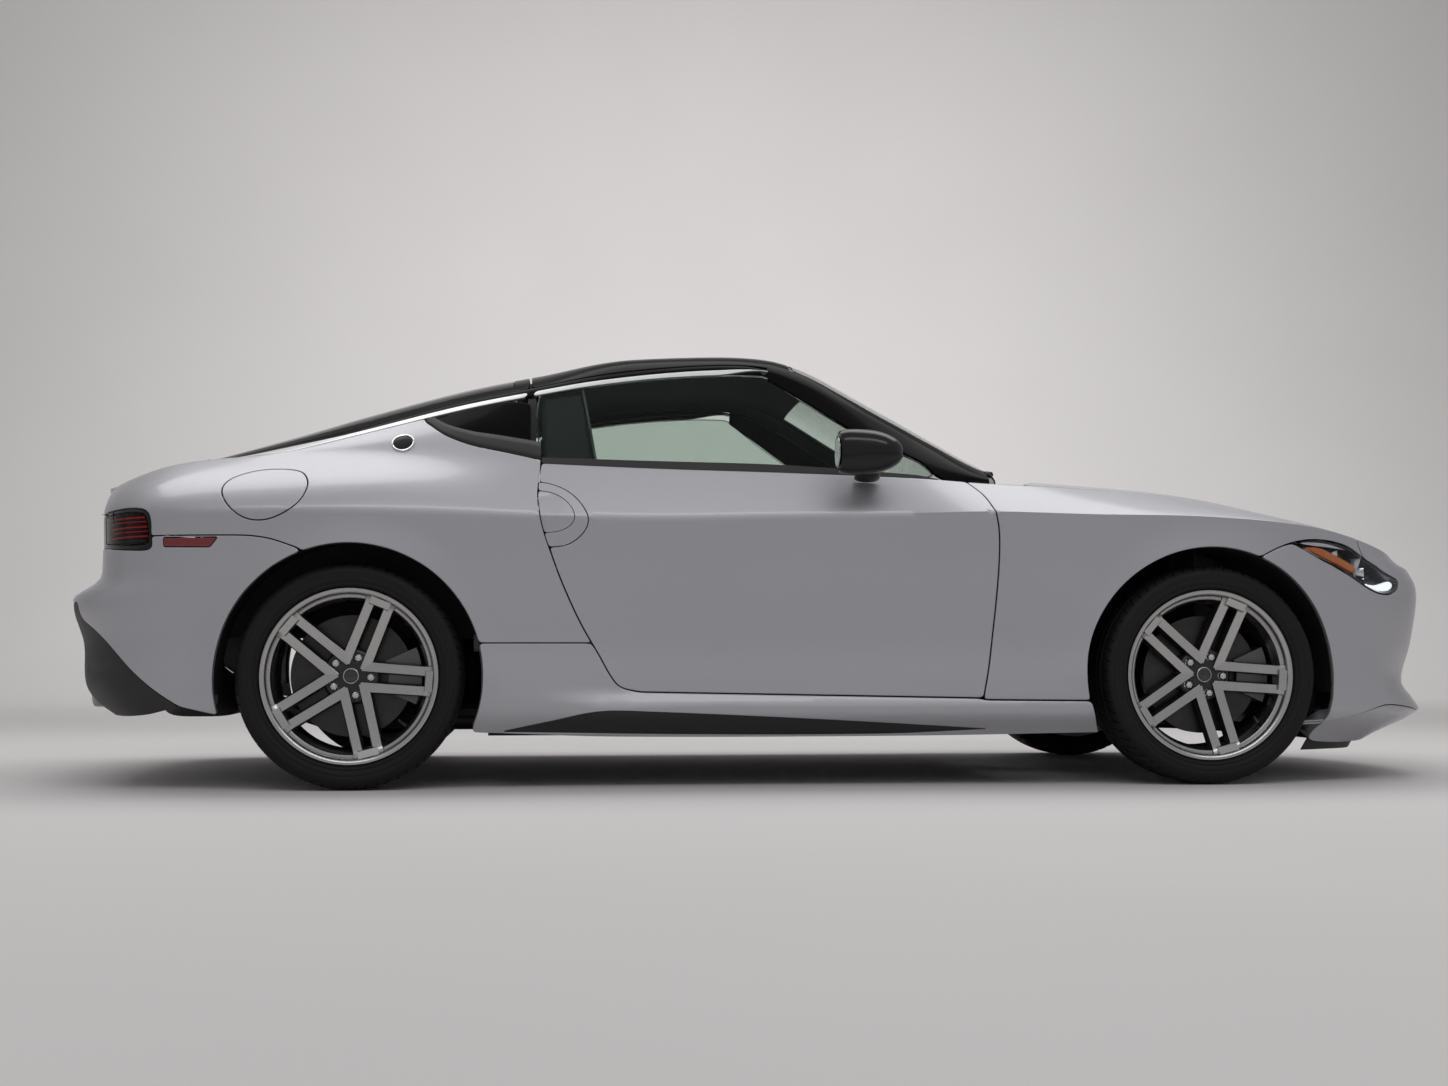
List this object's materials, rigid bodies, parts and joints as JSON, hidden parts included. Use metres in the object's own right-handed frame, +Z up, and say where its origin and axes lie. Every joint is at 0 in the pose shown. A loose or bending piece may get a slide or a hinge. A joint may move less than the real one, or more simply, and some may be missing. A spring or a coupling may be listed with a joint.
{
  "type": "two-seat fastback coupe car",
  "caption": "Low two-seat fastback coupe car with opening doors, hood, rear hatch and fuel door, steered front wheels and turning wheels.",
  "frame": {"origin": "on the ground under the middle of the car, midway between the axles", "axes": "+X forward, +Y to the car's left, +Z up"},
  "size_m": [4.3795, 1.968, 1.3349],
  "materials": {
    "body_paint": "satin metallic",
    "black_paint": "gloss",
    "black_plastic": "matte",
    "soft_black_plastic": "soft matte",
    "lamp_lens": "clear",
    "tail_lens": "smoked",
    "tinted_glass": "tinted",
    "dark_glass": "privacy tint",
    "wheel_alloy": "machined and lacquered",
    "tyre_rubber": "matte",
    "disc_iron": "turned",
    "cast_metal": "as cast",
    "chassis_metal": "satin black",
    "steel_pipe": "brushed",
    "seat_leather": "satin"
  },
  "bodies": {
    "body": {"front_fenders": "body_paint", "front_bumper": "body_paint", "front_splitter": "black_plastic", "grille": "black_plastic", "headlights": "lamp_lens", "rear_bumper": "body_paint", "rear_diffuser": "black_plastic", "tail_light_band": "tail_lens", "side_skirt_left": "body_paint", "side_skirt_right": "body_paint", "body_side_left": "body_paint", "body_side_right": "body_paint", "roof_panel": "black_paint", "windshield": "tinted_glass", "quarter_windows": "dark_glass", "cowl": "black_plastic", "rear_knuckles": "cast_metal", "front_suspension": "chassis_metal", "rear_suspension": "chassis_metal", "engine_block": "cast_metal", "exhaust_system": "steel_pipe", "seats": "seat_leather", "dashboard": "soft_black_plastic", "floor_pan": "chassis_metal"},
    "hood": {"hood": "body_paint"},
    "hatch": {"hatch_frame": "body_paint", "hatch_glass": "dark_glass"},
    "fuel_door": {"fuel_door": "body_paint"},
    "door_left": {"door_left": "body_paint", "door_glass_left": "tinted_glass", "mirror_left": "black_paint"},
    "door_right": {"door_right": "body_paint", "door_glass_right": "tinted_glass", "mirror_right": "black_paint"},
    "knuckle_left": {"front_knuckle_left": "cast_metal"},
    "knuckle_right": {"front_knuckle_right": "cast_metal"},
    "steering_wheel": {"steering_wheel": "seat_leather"},
    "wheel_front_left": {"rim_front_left": "wheel_alloy", "tyre_front_left": "tyre_rubber", "brake_disc_front_left": "disc_iron"},
    "wheel_front_right": {"rim_front_right": "wheel_alloy", "tyre_front_right": "tyre_rubber", "brake_disc_front_right": "disc_iron"},
    "wheel_rear_left": {"rim_rear_left": "wheel_alloy", "tyre_rear_left": "tyre_rubber", "brake_disc_rear_left": "disc_iron"},
    "wheel_rear_right": {"rim_rear_right": "wheel_alloy", "tyre_rear_right": "tyre_rubber", "brake_disc_rear_right": "disc_iron"}
  },
  "joints": [
    {"name": "steer_left", "type": "hinge", "parent": "body", "child": "knuckle_left", "pos_m": [1.275, 0.7, 0.328], "axis": [0, 0, 1], "range_deg": [-33, 33]},
    {"name": "wheel_front_left_spin", "type": "hinge", "parent": "knuckle_left", "child": "wheel_front_left", "pos_m": [1.275, 0.76, 0.328], "axis": [0, 1, 0], "continuous": true},
    {"name": "wheel_rear_left_spin", "type": "hinge", "parent": "body", "child": "wheel_rear_left", "pos_m": [-1.275, 0.76, 0.328], "axis": [0, 1, 0], "continuous": true},
    {"name": "door_left_hinge", "type": "hinge", "parent": "body", "child": "door_left", "pos_m": [0.505, 0.842, 0.6], "axis": [0, 0, -1], "range_deg": [0, 65]},
    {"name": "steer_right", "type": "hinge", "parent": "body", "child": "knuckle_right", "pos_m": [1.275, -0.7, 0.328], "axis": [0, 0, 1], "range_deg": [-33, 33]},
    {"name": "wheel_front_right_spin", "type": "hinge", "parent": "knuckle_right", "child": "wheel_front_right", "pos_m": [1.275, -0.76, 0.328], "axis": [0, 1, 0], "continuous": true},
    {"name": "wheel_rear_right_spin", "type": "hinge", "parent": "body", "child": "wheel_rear_right", "pos_m": [-1.275, -0.76, 0.328], "axis": [0, 1, 0], "continuous": true},
    {"name": "door_right_hinge", "type": "hinge", "parent": "body", "child": "door_right", "pos_m": [0.505, -0.842, 0.6], "axis": [0, 0, 1], "range_deg": [0, 65]},
    {"name": "hood_hinge", "type": "hinge", "parent": "body", "child": "hood", "pos_m": [0.7, 0, 0.905], "axis": [0, -1, 0], "range_deg": [0, 50]},
    {"name": "hatch_hinge", "type": "hinge", "parent": "body", "child": "hatch", "pos_m": [-0.819, 0, 1.253], "axis": [0, 1, 0], "range_deg": [0, 65]},
    {"name": "fuel_door_hinge", "type": "hinge", "parent": "body", "child": "fuel_door", "pos_m": [-1.461, -0.85, 0.85], "axis": [0, 0.6088, 0.7934], "range_deg": [0, 85]},
    {"name": "steering_wheel_turn", "type": "hinge", "parent": "body", "child": "steering_wheel", "pos_m": [0.135, 0.36, 0.735], "axis": [-0.9135, 0, 0.4067], "range_deg": [-480, 480]}
  ],
  "couplings": [
    {"joint": "steer_right", "follows": "steer_left", "ratio": 1},
    {"joint": "steering_wheel_turn", "follows": "steer_left", "ratio": 14}
  ]
}
